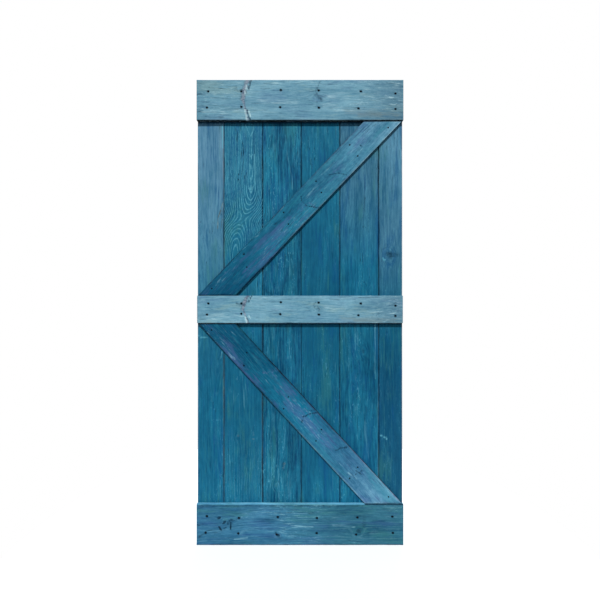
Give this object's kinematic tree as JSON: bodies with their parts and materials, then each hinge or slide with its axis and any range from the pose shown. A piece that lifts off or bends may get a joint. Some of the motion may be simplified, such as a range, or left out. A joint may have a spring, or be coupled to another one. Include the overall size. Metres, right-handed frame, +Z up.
{
  "type": "sliding barn door",
  "caption": "Upright plank door leaf with horizontal rails and K-shaped diagonal bracing nailed to its front, made to hang from a sliding track.",
  "frame": {"origin": "middle of the bottom edge, half way through the thickness", "axes": "+Z up along the boards, +X to the right along the width when facing the front, and the front with its rails faces -Y"},
  "size_m": [0.949, 0.035, 2.1336],
  "materials": {
    "boards": "brushed blue stain on pine, matt",
    "pale_rails": "pale blue-grey stain on pine, matt",
    "dark_rail": "steel-blue stain on pine, matt",
    "braces": "blue stain on pine fading from deep to pale along the length, matt",
    "nails": "black oxide"
  },
  "bodies": {
    "root": {"board_1": "boards", "board_2": "boards", "board_3": "boards", "board_4": "boards", "board_5": "boards", "board_6": "boards", "top_rail": "pale_rails", "mid_rail": "pale_rails", "bottom_rail": "dark_rail", "upper_brace": "braces", "lower_brace": "braces", "top_rail_nails": "nails", "mid_rail_nails": "nails", "bottom_rail_nails": "nails", "upper_brace_nails": "nails", "lower_brace_nails": "nails"}
  },
  "joints": []
}
